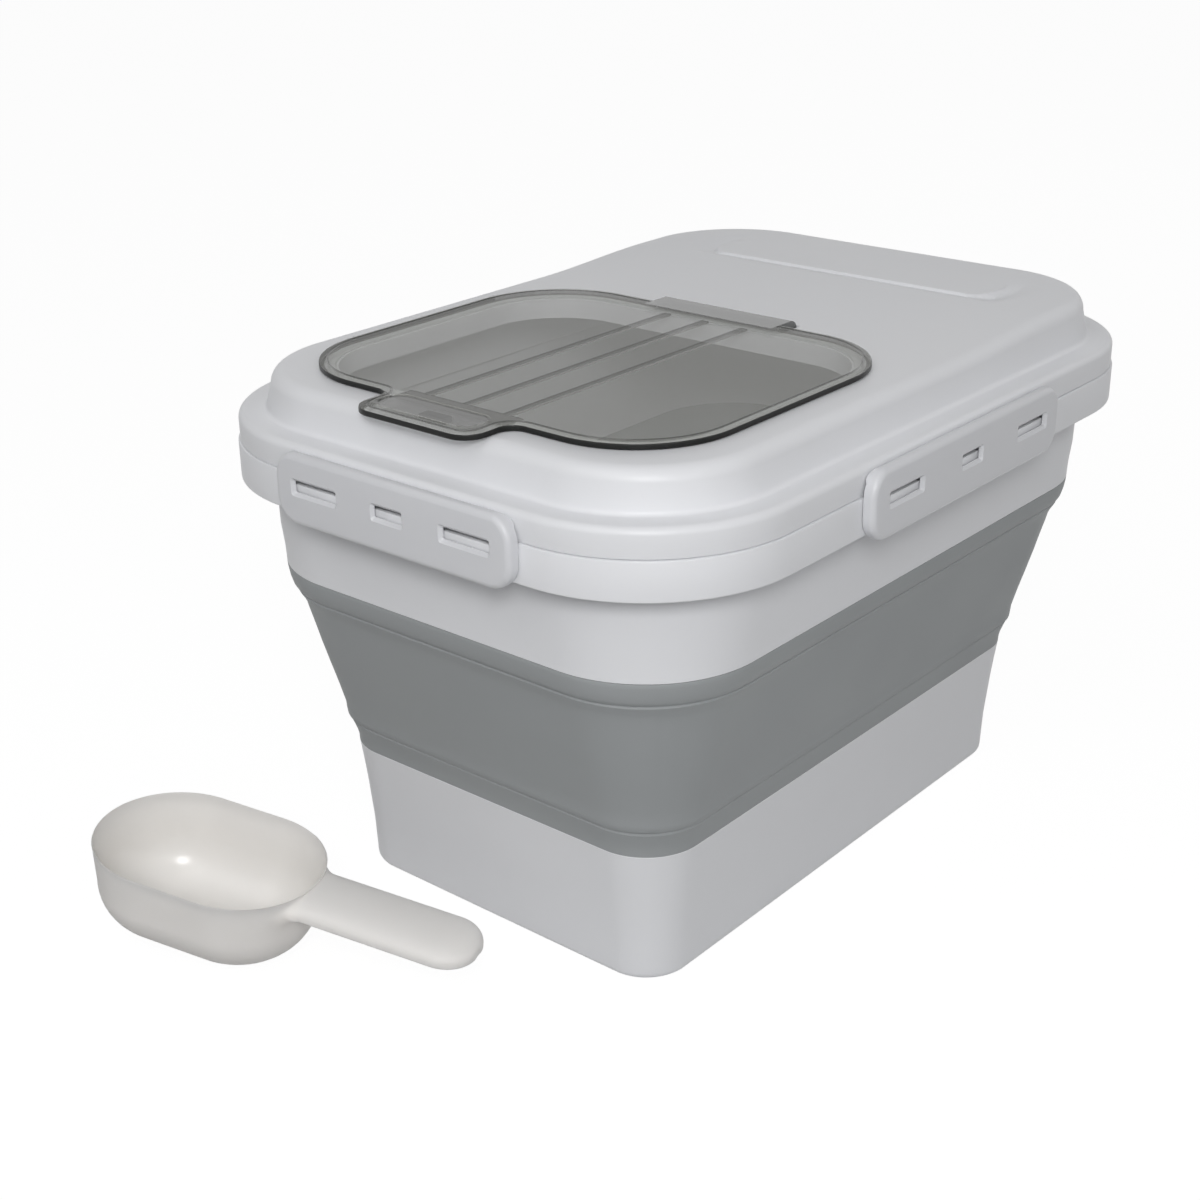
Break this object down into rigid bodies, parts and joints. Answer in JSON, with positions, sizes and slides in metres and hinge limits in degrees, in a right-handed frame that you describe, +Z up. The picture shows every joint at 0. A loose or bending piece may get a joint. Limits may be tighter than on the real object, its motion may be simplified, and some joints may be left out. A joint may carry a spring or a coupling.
{
  "type": "rice bin with flip lid",
  "caption": "Collapsible dry-food bin: rounded rectangular tub with a folding band, a latched lid with a see-through flip flap, and a loose measuring scoop.",
  "frame": {"origin": "middle of the base tub's underside, on the surface that the bin stands on", "axes": "+X to the right across the short side, -Y towards the flap's finger tab (front), +Y to the back along the long side, +Z up"},
  "size_m": [0.3126, 0.5182, 0.2688],
  "materials": {
    "white_pp": "satin moulded polypropylene, cool white",
    "latch_white": "smooth moulded polypropylene, cool white",
    "grey_tpe": "matt thermoplastic elastomer, mid grey",
    "silicone": "soft matt silicone, pale grey",
    "smoke_clear": "glossy smoke-tinted clear polystyrene",
    "steel_pin": "drawn stainless steel",
    "cream_pp": "satin moulded polypropylene, warm off-white"
  },
  "bodies": {
    "base": {"base_tub": "white_pp", "folding_band": "grey_tpe"},
    "collar": {"collar": "white_pp"},
    "lid": {"lid": "white_pp", "rim_gasket": "silicone", "flap_gasket": "silicone", "flap_hinge_rod": "steel_pin", "latch_pin_front": "steel_pin", "latch_pin_right": "steel_pin", "latch_pin_back": "steel_pin", "latch_pin_left": "steel_pin"},
    "flap": {"flap": "smoke_clear"},
    "latch_front": {"latch_front": "latch_white"},
    "latch_right": {"latch_right": "latch_white"},
    "latch_back": {"latch_back": "latch_white"},
    "latch_left": {"latch_left": "latch_white"},
    "scoop": {"scoop": "cream_pp"}
  },
  "joints": [
    {"name": "collapse", "type": "slide", "parent": "base", "child": "collar", "axis": [0, 0, -1], "range_m": [0, 0.148], "deforming": ["folding_band"]},
    {"name": "lid_lift", "type": "slide", "parent": "collar", "child": "lid", "axis": [0, 0, 1], "range_m": [0, 0.12]},
    {"name": "flap_hinge", "type": "hinge", "parent": "lid", "child": "flap", "pos_m": [0, 0.024, 0.263], "axis": [-1, 0, 0], "range_deg": [0, 110]},
    {"name": "latch_front_hinge", "type": "hinge", "parent": "lid", "child": "latch_front", "pos_m": [0, -0.2134, 0.2414], "axis": [-1, 0, 0], "range_deg": [0, 110]},
    {"name": "latch_right_hinge", "type": "hinge", "parent": "lid", "child": "latch_right", "pos_m": [0.1529, 0, 0.2414], "axis": [0, -1, 0], "range_deg": [0, 110]},
    {"name": "latch_back_hinge", "type": "hinge", "parent": "lid", "child": "latch_back", "pos_m": [0, 0.2134, 0.2414], "axis": [1, 0, 0], "range_deg": [0, 110]},
    {"name": "latch_left_hinge", "type": "hinge", "parent": "lid", "child": "latch_left", "pos_m": [-0.1529, 0, 0.2414], "axis": [0, 1, 0], "range_deg": [0, 110]},
    {"name": "scoop_lift", "type": "slide", "parent": "base", "child": "scoop", "axis": [0, 0, 1], "range_m": [0, 0.15]}
  ]
}
